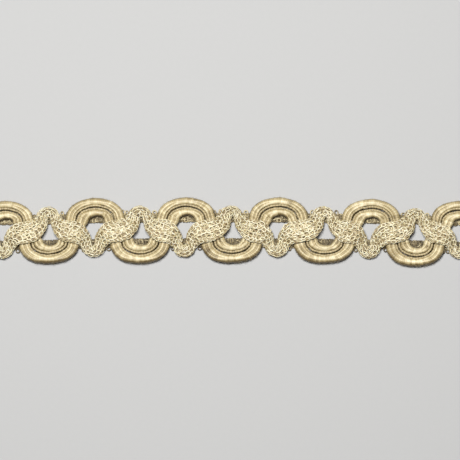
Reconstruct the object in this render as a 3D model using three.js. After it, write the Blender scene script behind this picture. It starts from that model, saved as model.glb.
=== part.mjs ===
// A cut length of gimp braid trim: two wrapped gimp cords laid side by side in a row of arches,
// a flattened knitted tape zigzagging over them, and two straight bands that carry both at the back.
// Millimetres. The trim lies flat on its bands: x runs along it, y across it and z up from the surface.

import * as THREE from "three";

// The length and how it lies
const REPEAT = 22.3;
const HALF_REPEATS = 12;
const CENTRE_SHIFT = 0.49;
const BOW_RADIUS = 2060;
const BOW_CROWN_X = -3.2;

// The pair of gimp cords
const CORD_WIDTH = 2.0;
const CORD_DEPTH = 1.6;
const CORD_TAPER = 0.3;
const PAIR_GAP = 0.3;
const ARCH_RISE = 5.69;
const LEG_DIFFERENCE = 0.2;

// The knitted tape
const TAPE_WIDTH = 5.2;
const TAPE_DEPTH = 0.85;
const TAPE_BUNCHING = 0.6;
const TAPE_ROUNDNESS = 0.7;
const BEND_RISE = 6.12;

// The bands at the back
const BAND_WIDTH = 2.75;
const BAND_DEPTH = 0.9;
const BAND_OFFSET = 3.28;
const BAND_ROUNDNESS = 0.5;

// The space kept between pieces that touch
const SEAT_GAP = 0.3;

// How finely each piece is stepped along its length and round its section
const STEPS_PER_HALF = 12;
const BAND_STEPS_PER_HALF = 3;
const CORD_SIDES = 10;
const TAPE_SIDES = 8;
const BAND_SIDES = 8;

// Heights of the layers, from the surface up
const CORD_FLOOR = BAND_DEPTH + SEAT_GAP;
const CORD_CENTRE = CORD_FLOOR + CORD_DEPTH / 2;
const TAPE_LOW = BAND_DEPTH + SEAT_GAP;
const TAPE_HIGH = CORD_FLOOR + CORD_DEPTH + SEAT_GAP;

// Half of one arch of the cord pair, measured on the line between the two cords, from the crown
// of the arch to the middle of the leg that leans across to the next arch. Both cords flatten and
// spread round the shoulder, and the one on the inside of the arch more so on the arch's left leg:
// lean says how far each row takes part in that difference.
const ARCH = [
  { along: 0, rise: ARCH_RISE, outerWidth: 2.05, innerWidth: CORD_WIDTH, lean: 0 },
  { along: 1.9, rise: 5.42, outerWidth: 2.12, innerWidth: 2.1, lean: 0.6 },
  { along: 3.3, rise: 4.82, outerWidth: 2.3, innerWidth: 2.45, lean: 1 },
  { along: 4.22, rise: 3.9, outerWidth: 2.5, innerWidth: 2.55, lean: 1 },
  { along: 4.62, rise: 2.75, outerWidth: 2.35, innerWidth: 2.4, lean: 1 },
  { along: REPEAT / 4, rise: 0, outerWidth: CORD_WIDTH, innerWidth: CORD_WIDTH, lean: 0 },
];

// Half of one bend of the tape, from its tip to the middle of the slant to the next bend. Each row is
// one rib across the tape: its end in the notch, its end on the outer rim, and how far up it has climbed.
const RIBS = [
  { notchAlong: 0, notchRise: 3.3, rimAlong: 0, rimRise: BEND_RISE, climb: 0 },
  { notchAlong: 0.24, notchRise: 3.1, rimAlong: 1.3, rimRise: 5.82, climb: 0 },
  { notchAlong: 0.36, notchRise: 2.6, rimAlong: 2.3, rimRise: 5.1, climb: 0 },
  { notchAlong: 0.44, notchRise: 1.75, rimAlong: 2.75, rimRise: 4.2, climb: 0.08 },
  { notchAlong: 0.72, notchRise: 0.7, rimAlong: 3.45, rimRise: 3.3, climb: 0.46 },
  { notchAlong: 1.38, notchRise: -0.4, rimAlong: 4.37, rimRise: 2.8, climb: 0.92 },
  { notchAlong: 2.4, notchRise: -1.6, rimAlong: 5.7, rimRise: 2.58, climb: 1.02 },
  { notchAlong: 4.2, notchRise: -2.4, rimAlong: 6.95, rimRise: 2.4, climb: 1 },
];

// One row for each bend from the left end to the right: how far the arch and the tape's bend there
// lie along from an even spacing, how much further than usual each reaches out, and how far to the
// right the notch inside the tape's bend leans.
const UNEVEN = [
  { archAlong: 0, archReach: -0.15, bendAlong: 0, bendReach: 0.05, notchLean: 0 },
  { archAlong: 0.5, archReach: -0.3, bendAlong: -0.15, bendReach: 0.2, notchLean: -0.15 },
  { archAlong: 0, archReach: -0.2, bendAlong: -0.12, bendReach: 0.1, notchLean: 0.3 },
  { archAlong: 0.27, archReach: 0.05, bendAlong: -0.22, bendReach: 0.15, notchLean: -0.15 },
  { archAlong: -0.06, archReach: 0.08, bendAlong: -0.18, bendReach: 0, notchLean: 0.45 },
  { archAlong: -0.02, archReach: 0, bendAlong: -0.45, bendReach: 0.5, notchLean: -0.05 },
  { archAlong: 0, archReach: 0.05, bendAlong: -0.24, bendReach: -0.05, notchLean: 0.4 },
  { archAlong: 0.27, archReach: -0.02, bendAlong: -0.22, bendReach: 0.5, notchLean: -0.3 },
  { archAlong: 0.06, archReach: 0, bendAlong: -0.06, bendReach: -0.1, notchLean: 0.55 },
  { archAlong: 0.58, archReach: -0.15, bendAlong: -0.15, bendReach: 0.45, notchLean: -0.05 },
  { archAlong: 0, archReach: 0.3, bendAlong: -0.12, bendReach: -0.15, notchLean: 0.55 },
  { archAlong: -0.4, archReach: -0.1, bendAlong: -0.4, bendReach: 0, notchLean: -0.3 },
  { archAlong: 0, archReach: 0.1, bendAlong: 0, bendReach: 0.1, notchLean: 0 },
];

const material = (color, roughness) =>
  new THREE.MeshStandardMaterial({ color, roughness, metalness: 0 });
const CORD_YARN = material(0xdcc9a2, 0.55);
const TAPE_YARN = material(0xe6dabb, 0.7);
const BAND_YARN = material(0xcdbf9c, 0.8);

// The middle line of the trim, which dips very slightly towards both ends.
function midline(x) {
  return -((x - BOW_CROWN_X) ** 2) / (2 * BOW_RADIUS);
}

// Arches at even places in the row point down and those between them point up.
const archSide = (bend) => (bend % 2 === 0 ? -1 : 1);

// Where bend number `bend` of the arches or of the tape lies along the trim.
function bendX(bend, shiftColumn) {
  const even = CENTRE_SHIFT + (bend - HALF_REPEATS / 2) * (REPEAT / 2);
  return even + UNEVEN[bend][shiftColumn];
}

// Calls place(row, centre, stretch, direction, bend) for every row of a half shape, once going away
// from each bend and once coming up to the next, and returns all the results in order.
function repeatAlong(rows, shiftColumn, place) {
  const placed = [];
  for (let bend = 0; bend < HALF_REPEATS; bend++) {
    const here = bendX(bend, shiftColumn);
    const next = bendX(bend + 1, shiftColumn);
    const stretch = (next - here) / (REPEAT / 2);
    rows.slice(0, -1).forEach((row) => placed.push(place(row, here, stretch, 1, bend)));
    rows.slice(1).reverse().forEach((row) => placed.push(place(row, next, stretch, -1, bend + 1)));
  }
  placed.push(place(rows[0], bendX(HALF_REPEATS, shiftColumn), 1, 1, HALF_REPEATS));
  return placed;
}

// A smooth line through the points that leaves both ends square to the trim: each end point is
// given a mirrored neighbour, and at(share) then runs only between the true ends.
function squareEnded(points) {
  const mirrored = (end, inner) => new THREE.Vector3(2 * end.x - inner.x, inner.y, inner.z);
  const all = [mirrored(points[0], points[1]), ...points, mirrored(points.at(-1), points.at(-2))];
  const curve = new THREE.CatmullRomCurve3(all);
  const last = all.length - 1;
  const inner = (share) => (1 + share * (last - 2)) / last;
  return {
    at: (share) => curve.getPoint(inner(share)),
    tangentAt: (share) => curve.getTangent(inner(share)),
  };
}

// The line between the two cords.
function pairLine() {
  const points = repeatAlong(ARCH, "archAlong", (row, centre, stretch, direction, bend) => {
    const reach = (ARCH_RISE + UNEVEN[bend].archReach) / ARCH_RISE;
    const x = centre + direction * row.along * stretch;
    return new THREE.Vector3(x, midline(x) + archSide(bend) * row.rise * reach, CORD_CENTRE);
  });
  return squareEnded(points);
}

// The two edges of the tape. The tape bends the other way to the arches, so at a bend that points
// up its left edge is the rim and its right edge lies in the notch.
function tapeEdges() {
  const edge = (left) =>
    squareEnded(
      repeatAlong(RIBS, "bendAlong", (row, centre, stretch, direction, bend) => {
        const side = -archSide(bend);
        const rim = left === (side > 0);
        const along = rim ? row.rimAlong : row.notchAlong;
        const rise = rim ? row.rimRise : row.notchRise;
        const reach = (BEND_RISE + UNEVEN[bend].bendReach) / BEND_RISE;
        const lean = rim ? 0 : UNEVEN[bend].notchLean;
        const x = centre + direction * along * stretch + lean;
        const z = TAPE_LOW + row.climb * (TAPE_HIGH - TAPE_LOW);
        return new THREE.Vector3(x, midline(x) + side * rise * reach, z);
      }),
    );
  return { left: edge(true), right: edge(false) };
}

// A closed rod of one piece. Each ring of a capped cylinder is moved to its own section:
// sectionAt(share) gives the section's middle and its direction to the right, and outline(cos, sin)
// gives a point of the section as a distance to the right and a height.
function laidRod(sides, steps, sectionAt) {
  const rod = new THREE.CylinderGeometry(1, 1, 1, sides, steps, false, Math.PI / sides);
  const position = rod.attributes.position;
  for (let i = 0; i < position.count; i++) {
    const share = THREE.MathUtils.clamp(position.getY(i) + 0.5, 0, 1);
    const { middle, right, outline } = sectionAt(share);
    const [across, up] = outline(position.getX(i), position.getZ(i));
    position.setXYZ(i, middle.x + right.x * across, middle.y + right.y * across, middle.z + up);
  }
  rod.computeVertexNormals();
  return rod;
}

// A circle's coordinate pressed towards a box as the power falls from 1 to 0.
const signedPower = (value, power) => Math.sign(value) * Math.abs(value) ** power;

// The value at a share of the way along a list of values.
function valueAt(values, share) {
  const place = share * (values.length - 1);
  const before = Math.min(Math.floor(place), values.length - 2);
  return THREE.MathUtils.lerp(values[before], values[before + 1], place - before);
}

// One gimp cord: side is 1 for the cord to the left of the pair's line and -1 for the other. Its
// section is an oval, fuller on the side away from the other cord.
function cordGeometry(side) {
  const line = pairLine();
  const widths = repeatAlong(ARCH, "archAlong", (row, centre, stretch, direction, bend) =>
    archSide(bend) === side ? row.outerWidth : row.innerWidth - direction * row.lean * LEG_DIFFERENCE,
  );
  return laidRod(CORD_SIDES, HALF_REPEATS * STEPS_PER_HALF, (share) => {
    const width = valueAt(widths, share);
    const tangent = line.tangentAt(share).setZ(0).normalize();
    const right = new THREE.Vector3(tangent.y, -tangent.x, 0);
    const middle = line.at(share).addScaledVector(right, (-side * (width + PAIR_GAP)) / 2);
    const outline = (cos, sin) => [
      (cos * width) / 2,
      (sin * (1 - side * cos * CORD_TAPER) * CORD_DEPTH) / 2,
    ];
    return { middle, right, outline };
  });
}

// The tape: flat and wide on its slants, narrower and thicker where it bunches at the bends.
function tapeGeometry() {
  const { left, right } = tapeEdges();
  return laidRod(TAPE_SIDES, HALF_REPEATS * STEPS_PER_HALF, (share) => {
    const from = left.at(share);
    const to = right.at(share);
    const width = Math.hypot(to.x - from.x, to.y - from.y);
    const depth = TAPE_DEPTH * (TAPE_WIDTH / width) ** TAPE_BUNCHING;
    const middle = from.clone().lerp(to, 0.5);
    middle.z += depth / 2;
    const outline = (cos, sin) => [
      (signedPower(cos, TAPE_ROUNDNESS) * width) / 2,
      (signedPower(sin, TAPE_ROUNDNESS) * depth) / 2,
    ];
    return { middle, right: to.clone().sub(from).setZ(0).normalize(), outline };
  });
}

// One band, a flat strip that follows the middle line: side is 1 above it and -1 below.
function bandGeometry(side) {
  const start = bendX(0, "archAlong");
  const length = bendX(HALF_REPEATS, "archAlong") - start;
  return laidRod(BAND_SIDES, HALF_REPEATS * BAND_STEPS_PER_HALF, (share) => {
    const x = start + share * length;
    const middle = new THREE.Vector3(x, midline(x) + side * BAND_OFFSET, BAND_DEPTH / 2);
    const flat = Math.sin(((BAND_SIDES / 2 - 1) * Math.PI) / BAND_SIDES);
    const outline = (cos, sin) => [
      (signedPower(cos, BAND_ROUNDNESS) * BAND_WIDTH) / 2,
      (THREE.MathUtils.clamp(sin / flat, -1, 1) * BAND_DEPTH) / 2,
    ];
    return { middle, right: new THREE.Vector3(0, -1, 0), outline };
  });
}

// A named mesh of one yarn.
function piece(name, geometry, yarn) {
  const mesh = new THREE.Mesh(geometry, yarn);
  mesh.name = name;
  return mesh;
}

// The whole trim, moved so that the middle of its footprint is at the origin.
function gimpBraid() {
  const trim = new THREE.Group();
  trim.add(
    piece("band_upper", bandGeometry(1), BAND_YARN),
    piece("band_lower", bandGeometry(-1), BAND_YARN),
    piece("cord_upper", cordGeometry(1), CORD_YARN),
    piece("cord_lower", cordGeometry(-1), CORD_YARN),
    piece("tape_front", tapeGeometry(), TAPE_YARN),
  );
  const box = new THREE.Box3().setFromObject(trim);
  const centre = box.getCenter(new THREE.Vector3());
  trim.position.set(-centre.x, -centre.y, -box.min.z);
  const part = new THREE.Group();
  part.add(trim);
  return part;
}

export default gimpBraid();
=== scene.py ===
"""Looks for a cut length of gimp braid trim in cream rayon, laid flat on its two back bands.

Two wrapped gimp cords run side by side in a row of arches, a flattened knitted tape zigzags
over them, and two straight knitted bands hold both together at the back. Each yarn is a swept
mesh of its own shape.
"""

import logging
from collections.abc import Iterator, Sequence
from dataclasses import dataclass, field, replace
from enum import Enum
from typing import Any

import bpy
import numpy as np
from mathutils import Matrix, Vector


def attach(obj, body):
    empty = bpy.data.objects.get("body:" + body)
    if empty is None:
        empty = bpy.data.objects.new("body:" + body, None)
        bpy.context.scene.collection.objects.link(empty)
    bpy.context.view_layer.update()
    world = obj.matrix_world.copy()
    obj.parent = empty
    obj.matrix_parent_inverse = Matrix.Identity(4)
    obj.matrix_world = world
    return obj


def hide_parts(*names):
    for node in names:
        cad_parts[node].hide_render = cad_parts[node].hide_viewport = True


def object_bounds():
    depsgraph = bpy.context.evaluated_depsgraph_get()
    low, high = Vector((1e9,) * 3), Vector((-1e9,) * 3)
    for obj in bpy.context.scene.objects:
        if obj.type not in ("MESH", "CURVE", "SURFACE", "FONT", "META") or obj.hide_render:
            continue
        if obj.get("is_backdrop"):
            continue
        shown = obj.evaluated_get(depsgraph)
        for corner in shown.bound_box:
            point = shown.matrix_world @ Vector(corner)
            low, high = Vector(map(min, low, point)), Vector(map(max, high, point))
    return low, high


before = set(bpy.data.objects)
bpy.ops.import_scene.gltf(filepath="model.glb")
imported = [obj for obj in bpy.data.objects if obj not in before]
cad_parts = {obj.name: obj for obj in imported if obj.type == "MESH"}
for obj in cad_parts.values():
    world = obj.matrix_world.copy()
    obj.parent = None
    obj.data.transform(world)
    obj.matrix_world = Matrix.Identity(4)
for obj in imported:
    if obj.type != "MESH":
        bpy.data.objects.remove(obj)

MM = 0.001
ROOT = "root"

# Length of one repeat of the trim, in millimetres
REPEAT = 22.3
# Points on a line that is measured before it is cut into even steps
FINE_POINTS = 8001
# Shortest vector that still has a direction
LEAST_LENGTH = 1e-12
# The most that a loop or stitch strays, in usual strays
MOST_STRAY = 1.8
UP = np.array([0.0, 0.0, 1.0])

log = logging.getLogger("gimp_braid")


# How the trim is laid out


class Side(Enum):
    """The two long sides of the trim, as the direction across it."""

    UPPER = 1
    LOWER = -1


class Shift(Enum):
    """Which of a bend's own shifts moves a row of shapes along the trim."""

    ARCH = "arch_along"
    TAPE = "bend_along"


@dataclass(frozen=True)
class Bend:
    """How one bend of the trim differs from an even row, in millimetres.

    Args:
        arch_along: How far along the cords' arch lies from its even place.
        arch_reach: How much further out the cords' arch reaches.
        bend_along: How far along the tape's bend lies from its even place.
        bend_reach: How much further out the tape's bend reaches.
        notch_lean: How far to the right the notch inside the tape's bend leans.
    """

    arch_along: float = 0.0
    arch_reach: float = 0.0
    bend_along: float = 0.0
    bend_reach: float = 0.0
    notch_lean: float = 0.0


@dataclass(frozen=True)
class ArchRow:
    """A point of half an arch of the cord pair, from the crown to the middle of the leg.

    Args:
        along: Distance along the trim from the crown.
        rise: Distance from the middle line.
        outer_width: Width of the cord on the outside of the arch.
        inner_width: Width of the cord on the inside of the arch.
        swell: How far the widths take part in the differences between the legs, from 0 to 1.
        spread: How far the strands of a cord lie apart, from 0 to 1.
    """

    along: float
    rise: float
    outer_width: float
    inner_width: float
    swell: float
    spread: float


@dataclass(frozen=True)
class RibRow:
    """One rib across the tape, from the tip of a bend to the middle of its slant.

    Args:
        notch_along: Distance along the trim of the end in the notch.
        notch_rise: Distance of that end from the middle line.
        rim_along: Distance along the trim of the end on the outer rim.
        rim_rise: Distance of that end from the middle line.
        climb: How far the rib has climbed on to the cords, from 0 to 1.
    """

    notch_along: float
    notch_rise: float
    rim_along: float
    rim_rise: float
    climb: float


@dataclass(frozen=True)
class Layout:
    """Where the repeats of the trim lie, in millimetres.

    Args:
        repeat: Length of one repeat, which has an arch on either side.
        half_repeats: Number of half repeats in the cut length.
        centre_shift: How far along the trim the middle bend's even place lies.
        bow_radius: Radius of the trim's slight bow.
        bow_crown: Where along the trim the bow is highest.
        footprint: How far the layout is moved to lie in the frame's place.
        bends: How each bend differs from an even row.
    """

    repeat: float = REPEAT
    half_repeats: int = 12
    centre_shift: float = 0.49
    bow_radius: float = 2060.0
    bow_crown: float = -3.2
    footprint: tuple[float, float, float] = (-0.490, 0.6615, 0.0)
    bends: tuple[Bend, ...] = (
        Bend(0, -0.15, 0, 0.05, 0),
        Bend(0.5, -0.3, -0.15, 0.2, -0.15),
        Bend(0, -0.2, -0.12, 0.1, 0.3),
        Bend(0.27, 0.05, -0.22, 0.15, -0.15),
        Bend(-0.06, 0.08, -0.18, 0, 0.45),
        Bend(-0.02, 0, -0.45, 0.5, -0.05),
        Bend(0, 0.05, -0.24, -0.05, 0.4),
        Bend(0.27, -0.02, -0.22, 0.5, -0.3),
        Bend(0.06, 0, -0.06, -0.1, 0.55),
        Bend(0.58, -0.15, -0.15, 0.45, -0.05),
        Bend(0, 0.3, -0.12, -0.15, 0.55),
        Bend(-0.4, -0.1, -0.4, 0, -0.3),
        Bend(0, 0.1, 0, 0.1, 0),
    )

    def midline(self, x: Any) -> Any:
        """Height across the trim of its middle line, which dips slightly towards both ends."""
        return -((x - self.bow_crown) ** 2) / (2 * self.bow_radius)

    def arch_side(self, bend: int) -> int:
        """The side that an arch points to: 1 is up and -1 is down."""
        return -1 if bend % 2 == 0 else 1

    def bend_x(self, bend: int, shift: Shift) -> float:
        """Where a bend lies along the trim."""
        even = self.centre_shift + (bend - self.half_repeats / 2) * self.repeat / 2
        return even + getattr(self.bends[bend], shift.value)

    def each_row(
        self, rows: Sequence[Any], shift: Shift
    ) -> Iterator[tuple[Any, float, float, int, int]]:
        """Goes through the rows of a half shape, away from each bend and up to the next.

        Args:
            rows: The rows of half a shape.
            shift: Which shift of the bends moves the shape.

        Returns:
            Row, centre of its bend, stretch along the trim, direction and number of the bend.
        """
        for bend in range(self.half_repeats):
            here, following = self.bend_x(bend, shift), self.bend_x(bend + 1, shift)
            stretch = (following - here) / (self.repeat / 2)
            for row in rows[:-1]:
                yield row, here, stretch, 1, bend
            for row in reversed(rows[1:]):
                yield row, following, stretch, -1, bend + 1
        last = self.half_repeats
        yield rows[0], self.bend_x(last, shift), 1.0, 1, last

    def placed(self, points: np.ndarray) -> np.ndarray:
        """Points of the layout, in millimetres, as metres in the frame's place."""
        return (points + np.array(self.footprint)) * MM


class LaidLine:
    """A smooth line through points that leaves both ends square to the trim."""

    def __init__(self, points: np.ndarray) -> None:
        """Gives each end point a mirrored neighbour.

        Args:
            points: The points that the line goes through, one a row.
        """
        first = points[1] * np.array([-1, 1, 1]) + points[0] * np.array([2, 0, 0])
        last = points[-2] * np.array([-1, 1, 1]) + points[-1] * np.array([2, 0, 0])
        self.knots = np.vstack([first, points, last])

    def at(self, share: np.ndarray) -> np.ndarray:
        """Points at shares of the way between the true ends.

        Args:
            share: Values from 0 to 1.

        Returns:
            One point a row.
        """
        spans = len(self.knots) - 3
        place = np.clip(share, 0, 1) * spans
        span = np.minimum(place.astype(int), spans - 1)
        t = (place - span)[:, None]
        p0, p1, p2, p3 = (self.knots[span + i] for i in range(4))
        steps = (p1 - p0, p2 - p1, p3 - p2)
        d0, d1, d2 = (np.sqrt(np.linalg.norm(step, axis=1))[:, None] for step in steps)
        out = ((p1 - p0) / d0 - (p2 - p0) / (d0 + d1) + (p2 - p1) / d1) * d1
        back = ((p2 - p1) / d1 - (p3 - p1) / (d1 + d2) + (p3 - p2) / d2) * d1
        cubic = 2 * p1 - 2 * p2 + out + back
        square = -3 * p1 + 3 * p2 - 2 * out - back
        return p1 + t * (out + t * (square + t * cubic))


# Meshes from rings


@dataclass
class Strands:
    """Rings of points that become the closed meshes of one piece's yarns.

    Args:
        points: The rings' points.
        quads: Numbers of the four points of each face between rings.
        caps: Numbers of the points of each end's face.
        along: Distance along the strand of each point.
        tones: How light each point is.
        count: Number of points so far.
    """

    points: list[np.ndarray] = field(default_factory=list)
    quads: list[np.ndarray] = field(default_factory=list)
    caps: list[np.ndarray] = field(default_factory=list)
    along: list[np.ndarray] = field(default_factory=list)
    tones: list[np.ndarray] = field(default_factory=list)
    count: int = 0

    def add(self, rings: np.ndarray, run: np.ndarray, tone: np.ndarray) -> None:
        """Adds strands that all have as many rings and sides.

        Args:
            rings: Points by strand, ring and side, in millimetres.
            run: Distance along the strand of each ring, by strand and ring.
            tone: How light each point is, by strand, ring and side, round zero.
        """
        strands, length, sides, _ = rings.shape
        index = self.count + np.arange(strands * length * sides).reshape(strands, length, sides)
        after = np.roll(index, -1, axis=2)
        quads = np.stack([index[:, :-1], after[:, :-1], after[:, 1:], index[:, 1:]], axis=-1)
        self.points.append(rings.reshape(-1, 3))
        self.quads.append(quads.reshape(-1, 4))
        self.caps.append(np.concatenate([index[:, 0, ::-1], index[:, -1]]))
        self.along.append(np.repeat(run.reshape(-1), sides))
        self.tones.append(np.broadcast_to(tone, rings.shape[:3]).reshape(-1))
        self.count += strands * length * sides

    def mesh_object(self, name: str, layout: Layout) -> bpy.types.Object:
        """The strands as one object in the frame's place.

        Args:
            name: Name of the piece.
            layout: The layout that places the points.

        Returns:
            The object, smooth all over, with a tone and a run on each point.
        """
        points = layout.placed(np.concatenate(self.points))
        quads = np.concatenate(self.quads)
        corners = [quads.reshape(-1)] + [caps.reshape(-1) for caps in self.caps]
        sizes = [np.full(len(quads), 4)] + [np.full(len(caps), caps.shape[1]) for caps in self.caps]
        size = np.concatenate(sizes)
        corner = np.concatenate(corners)
        mesh = bpy.data.meshes.new(name)
        mesh.vertices.add(len(points))
        mesh.vertices.foreach_set("co", points.astype(np.float32).reshape(-1))
        mesh.loops.add(len(corner))
        mesh.loops.foreach_set("vertex_index", corner.astype(np.int32))
        mesh.polygons.add(len(size))
        starts = np.concatenate([[0], np.cumsum(size)[:-1]])
        mesh.polygons.foreach_set("loop_start", starts.astype(np.int32))
        mesh.update(calc_edges=True)
        for label, values in (("tone", self.tones), ("run", self.along)):
            layer = mesh.attributes.new(label, "FLOAT", "POINT")
            layer.data.foreach_set("value", np.concatenate(values).astype(np.float32))
        thing = bpy.data.objects.new(name, mesh)
        bpy.context.scene.collection.objects.link(thing)
        alone(thing)
        bpy.ops.object.shade_smooth()
        return thing


def alone(thing: bpy.types.Object) -> None:
    """Makes an object the only selected one, and the active one.

    Args:
        thing: The object.
    """
    bpy.ops.object.select_all(action="DESELECT")
    thing.select_set(True)
    bpy.context.view_layer.objects.active = thing


def unit(vectors: np.ndarray) -> np.ndarray:
    """Vectors of length one in the same directions."""
    return vectors / np.maximum(np.linalg.norm(vectors, axis=-1, keepdims=True), LEAST_LENGTH)


def run_of(points: np.ndarray) -> np.ndarray:
    """Distance along each line of points from its first point."""
    steps = np.linalg.norm(np.diff(points, axis=-2), axis=-1)
    return np.concatenate([np.zeros(steps.shape[:-1] + (1,)), np.cumsum(steps, axis=-1)], axis=-1)


def swept(points: np.ndarray, normals: np.ndarray, wide: Any, thick: Any, sides: int) -> np.ndarray:
    """Rings of an oval section round lines of points.

    Args:
        points: Line points by strand and ring.
        normals: Direction in which the section is thin, at each point.
        wide: Half the width of the section.
        thick: Half the thickness of the section.
        sides: Points in a ring.

    Returns:
        Points by strand, ring and side.
    """
    tangent = unit(np.gradient(points, axis=1))
    side = unit(np.cross(tangent, normals))
    up = np.cross(side, tangent)
    angle = 2 * np.pi * (np.arange(sides) + 0.5) / sides
    across = side[:, :, None, :] * (np.cos(angle)[:, None] * np.asarray(wide)[..., None, None])
    above = up[:, :, None, :] * (np.sin(angle)[:, None] * np.asarray(thick)[..., None, None])
    return points[:, :, None, :] + across + above


def smoothed(line: np.ndarray, steps: int) -> np.ndarray:
    """A smooth line through the points of another.

    Args:
        line: The points to go through, one a row.
        steps: Steps from each point to the next.

    Returns:
        One point a row.
    """
    padded = np.vstack([line[:1], line, line[-1:]])
    share = np.arange((len(line) - 1) * steps + 1) / steps
    span = np.minimum(share.astype(int), len(line) - 2)
    t = (share - span)[:, None]
    p0, p1, p2, p3 = (padded[span + i] for i in range(4))
    bend = 2 * p0 - 5 * p1 + 4 * p2 - p3
    twist = -p0 + 3 * p1 - 3 * p2 + p3
    return 0.5 * (2 * p1 + t * (p2 - p0 + t * (bend + t * twist)))


@dataclass(frozen=True)
class Drift:
    """Slow random drift along a line.

    Args:
        pitch: Distance between the turns of the drift.
        size: Usual size of the drift.
    """

    pitch: float
    size: float

    def along(self, rng: np.random.Generator, places: np.ndarray) -> np.ndarray:
        """The drift at places along the line.

        Args:
            rng: Seeded source of random numbers.
            places: Where the drift is wanted.

        Returns:
            The drift at each place.
        """
        low, high = places.min(), places.max()
        knots = np.arange(low - 2 * self.pitch, high + 3 * self.pitch, self.pitch)
        values = rng.normal(0, self.size, len(knots))
        place = (places - knots[0]) / self.pitch
        index = np.clip(place.astype(int), 1, len(knots) - 3)
        t = place - index
        ease = t * t * (3 - 2 * t)
        return values[index] * (1 - ease) + values[index + 1] * ease


@dataclass(frozen=True)
class Falloff:
    """How a value grows towards a side.

    Args:
        strength: The value at the side itself.
        power: How close to the side it stays.
    """

    strength: float
    power: float

    def at(self, nearness: np.ndarray) -> np.ndarray:
        """The value where the side is this near, from 0 to 1."""
        return self.strength * nearness**self.power


def strays(rng: np.random.Generator, size: float, loops: int, kinds: int) -> np.ndarray:
    """How far each loop strays from an even one.

    Args:
        rng: Seeded source of random numbers.
        size: Usual stray.
        loops: Number of loops.
        kinds: Number of ways in which a loop strays.

    Returns:
        Strays by kind and loop, with one column.
    """
    wild = np.clip(rng.normal(0, size, (loops, 1, kinds)), -MOST_STRAY * size, MOST_STRAY * size)
    return np.moveaxis(wild, -1, 0)


# Shader maths and finishes


class Signal:
    """A node's output that takes part in sums."""

    def __init__(self, surface: "Surface", socket: bpy.types.NodeSocket) -> None:
        """Keeps the output and the surface that it belongs to."""
        self.surface = surface
        self.socket = socket

    def _with(self, operation: str, first: Any, second: Any) -> "Signal":
        """A Math node on two values or signals."""
        values = {0: first, 1: second}
        return self.surface.node("ShaderNodeMath", {"operation": operation}, values).out()

    def __add__(self, other: Any) -> "Signal":
        """This signal and another added."""
        return self._with("ADD", self, other)

    def __sub__(self, other: Any) -> "Signal":
        """This signal less another."""
        return self._with("SUBTRACT", self, other)

    def __rsub__(self, other: Any) -> "Signal":
        """Another value less this signal."""
        return self._with("SUBTRACT", other, self)

    def __mul__(self, other: Any) -> "Signal":
        """This signal times another."""
        return self._with("MULTIPLY", self, other)

    __radd__ = __add__
    __rmul__ = __mul__

    def kept(self) -> "Signal":
        """This signal kept between 0 and 1."""
        return self.surface.node("ShaderNodeClamp", {}, {"Value": self}).out()


class Placed:
    """A node in a surface's tree."""

    def __init__(self, surface: "Surface", made: bpy.types.Node) -> None:
        """Keeps the node and its surface."""
        self.surface = surface
        self.made = made

    def out(self, name: Any = 0) -> Signal:
        """One of the node's outputs."""
        return Signal(self.surface, self.made.outputs[name])


class Surface:
    """A material's node tree, written as Python."""

    # Number of the Mix node's output that holds a colour
    MIXED_COLOUR = 2
    # How strong each finer layer of noise is, against the one before
    FINER_SHARE = 0.6

    def __init__(self, name: str) -> None:
        """Starts a material with an empty tree.

        Args:
            name: Name of the material.
        """
        self.material = bpy.data.materials.new(name)
        self.material.use_nodes = True
        self.tree = self.material.node_tree
        self.tree.nodes.clear()

    def node(self, kind: str, settings: dict[str, Any], values: dict[Any, Any]) -> Placed:
        """Adds one node.

        Args:
            kind: Blender's name for the type of node.
            settings: The node's own settings, set before its sockets.
            values: A number, colour or signal for each named or numbered input.

        Returns:
            The node.
        """
        made = self.tree.nodes.new(kind)
        for setting, value in settings.items():
            if setting == "stops":
                self._stops(made.color_ramp, value)
            else:
                setattr(made, setting, value)
        for name, value in values.items():
            if isinstance(value, Signal):
                self.tree.links.new(value.socket, made.inputs[name])
            else:
                made.inputs[name].default_value = value
        return Placed(self, made)

    @staticmethod
    def _stops(ramp: bpy.types.ColorRamp, stops: Sequence[tuple[float, tuple[float, ...]]]) -> None:
        """Sets a ramp's stops.

        Args:
            ramp: The ramp.
            stops: Place and colour of each stop.
        """
        while len(ramp.elements) < len(stops):
            ramp.elements.new(0.5)
        for element, (place, colour) in zip(ramp.elements, stops):
            element.position = place
            element.color = (*colour, 1.0)

    def finished(self, values: dict[str, Any]) -> bpy.types.Material:
        """Closes the tree with a shader.

        Args:
            values: A number, colour or signal for each named input of the shader.

        Returns:
            The material.
        """
        shader = self.node("ShaderNodeBsdfPrincipled", {}, values)
        self.node("ShaderNodeOutputMaterial", {}, {"Surface": shader.out("BSDF")})
        return self.material

    def attribute(self, name: str) -> Signal:
        """A number that the mesh holds at each point."""
        return self.node("ShaderNodeAttribute", {"attribute_name": name}, {}).out("Fac")

    def place(self) -> Signal:
        """Place on the object, in metres."""
        return self.node("ShaderNodeTexCoord", {}, {}).out("Object")

    def noise(self, place: Signal, scale: float, layers: float = 2.0) -> Signal:
        """Cloudy noise from 0 to 1.

        Args:
            place: Where the noise is read.
            scale: How many turns it makes in a metre.
            layers: How many finer layers it has.

        Returns:
            The noise.
        """
        values = {"Vector": place, "Scale": scale, "Detail": layers, "Roughness": self.FINER_SHARE}
        return self.node("ShaderNodeTexNoise", {}, values).out("Fac")

    def vector(self, operation: str, values: dict[Any, Any]) -> Signal:
        """A Vector Math node on places or directions."""
        return self.node("ShaderNodeVectorMath", {"operation": operation}, values).out()


Colour = tuple[float, float, float]


class Lay(Enum):
    """How the filaments of a yarn lie."""

    WRAPPED = "round the strand"
    PLAIN = "any way"


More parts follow.
